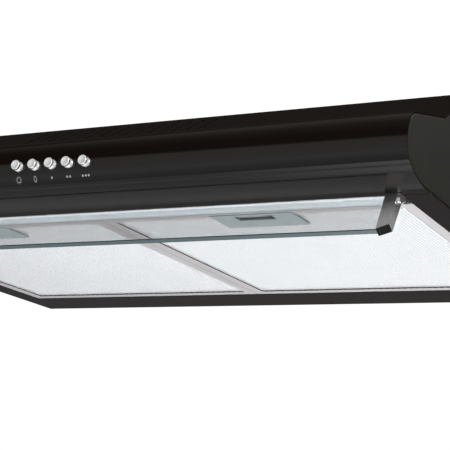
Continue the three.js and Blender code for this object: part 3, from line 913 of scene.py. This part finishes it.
studio = {
    "cameraPlace": (0.60487, -1.12168, -0.37252), "cameraTurn": (103.774, -4.407, 27.177),
    "lens": 105.725, "sensor": 36, "floorZ": -2.7, "floorSize": 16, "floorGlow": 0.7,
    # (height of the direction, brightness) in front of the hood, and towards the wall
    "frontSky": [(-1.0, (2.6, 2.6, 2.6)), (-0.96, (1.4, 1.4, 1.4)), (-0.89, (0.26, 0.26, 0.27)),
                 (-0.60, (0.42, 0.42, 0.43)), (-0.41, (0.60, 0.60, 0.61)), (-0.2, (0.50, 0.50, 0.50)),
                 (0.30, (0.42, 0.43, 0.37)), (0.40, (0.045, 0.024, 0.012)), (0.72, (0.038, 0.020, 0.010)),
                 (0.80, (0.05, 0.042, 0.036)), (1.0, (0.11, 0.095, 0.085))],
    "wallSky": [(-1.0, (2.6, 2.6, 2.6)), (-0.96, (1.4, 1.4, 1.4)), (-0.86, (0.40, 0.40, 0.41)),
                (-0.5, (0.32, 0.32, 0.33)), (-0.3, (0.09, 0.09, 0.09)), (0.4, (0.028, 0.023, 0.019)),
                (0.7, (0.022, 0.017, 0.014)), (0.8, (0.12, 0.10, 0.09)), (1.0, (0.22, 0.19, 0.17))],
    "brightest": 5, "seenWhite": 1.05,
    "frontEnds": -0.25, "wallStarts": 0.35,  # Y of the direction
    "lights": {
        "keyLight": {"place": (1.7, -1.6, 0.9), "aim": (0, -0.2, -0.1), "size": 1.0, "power": 60},
        "lowLight": {"place": (0.32, 0.35, -1.5), "aim": (0, 0, -0.1), "size": 0.8, "power": 37},
        "rearLight": {"place": (2.2, 1.4, 1.8), "aim": (0, 0, -0.1), "size": 1.2, "power": 40},
    },
}


def addCamera():
    camera = bpy.data.objects.new("camera", bpy.data.cameras.new("camera"))
    bpy.context.scene.collection.objects.link(camera)
    camera.data.lens, camera.data.sensor_width = studio["lens"], studio["sensor"]
    camera.location = studio["cameraPlace"]
    camera.rotation_euler = Euler([math.radians(a) for a in studio["cameraTurn"]])
    bpy.context.scene.camera = camera


def addLights():
    for name, wanted in studio["lights"].items():
        light = bpy.data.objects.new(name, bpy.data.lights.new(name, "AREA"))
        bpy.context.scene.collection.objects.link(light)
        light.data.shape, light.data.size = "DISK", wanted["size"]
        light.data.energy = wanted["power"]
        light.location = wanted["place"]
        facing = Vector(wanted["aim"]) - Vector(wanted["place"])
        light.rotation_euler = facing.to_track_quat("-Z", "Y").to_euler()
        light.visible_camera = False


def addSky():
    world = bpy.data.worlds.new("studio")
    bpy.context.scene.world = world
    world.use_nodes = True
    tree = world.node_tree
    tree.nodes.clear()

    def add(kind, inputs=None, **settings):
        node = tree.nodes.new("ShaderNode" + kind)
        for name, value in settings.items():
            setattr(node, name, value)
        for key, value in (inputs or {}).items():
            if isinstance(value, bpy.types.NodeSocket):
                tree.links.new(value, node.inputs[key])
            else:
                node.inputs[key].default_value = value
        return node

    def ramp(stops):
        node = add("ValToRGB", {0: rise})
        while len(node.color_ramp.elements) < len(stops):
            node.color_ramp.elements.new(1)
        for stop, (height, colour) in zip(node.color_ramp.elements, stops):
            stop.position = (height + 1) / 2
            stop.color = (*(c / brightest for c in colour), 1)
        return node.outputs[0]

    brightest = studio["brightest"]
    split = add("SeparateXYZ", {0: add("TexCoord").outputs["Generated"]})
    rise = add("MapRange", {"Value": split.outputs["Z"], "From Min": -1.0}).outputs[0]
    edges = {"From Min": studio["frontEnds"], "From Max": studio["wallStarts"]}
    back = add("MapRange", {"Value": split.outputs["Y"], **edges},
               interpolation_type="SMOOTHSTEP").outputs[0]
    tone = add("Mix", {0: back, 6: ramp(studio["frontSky"]), 7: ramp(studio["wallSky"])},
               data_type="RGBA").outputs[2]
    soft = add("Background", {"Color": tone, "Strength": brightest}).outputs[0]
    white = add("Background", {"Color": (1, 1, 1, 1), "Strength": studio["seenWhite"]}).outputs[0]
    seen = add("LightPath").outputs["Is Camera Ray"]
    add("OutputWorld", {"Surface": add("MixShader", {0: seen, 1: soft, 2: white}).outputs[0]})


def addFloor():
    choose()
    bpy.ops.mesh.primitive_plane_add(size=studio["floorSize"], location=(0, 0, studio["floorZ"]))
    floor = bpy.context.object
    floor.name = "floor"
    finish = Finish("paleFloor", {"Emission Strength": studio["floorGlow"]})
    tone = finish.mix(finish.noise(1.5, 3), (0.86, 0.86, 0.86), (0.90, 0.90, 0.90))
    floor.data.materials.append(finish.surface({
        "Base Color": tone, "Emission Color": tone, "Roughness": 0.6 + 0.1 * finish.noise(4),
    }))
    for rays in ("visible_diffuse", "visible_glossy", "visible_transmission"):
        setattr(floor, rays, False)


addCamera()
addSky()
addFloor()
addLights()
bpy.context.scene.view_settings.view_transform = "Standard"
print("studio ready")

makeCanopy()
panel = makeFrontPanel()
makeCheeks()
print("shell ready")
makeButtons()
makeSymbols(panel)
makeDiffuser()
makeGlass()
makeClips()
print("front ready")
makeFilter("left")
makeFilter("right")
makeFrames()
print("filters ready")
makePlainParts()
print("other parts ready")
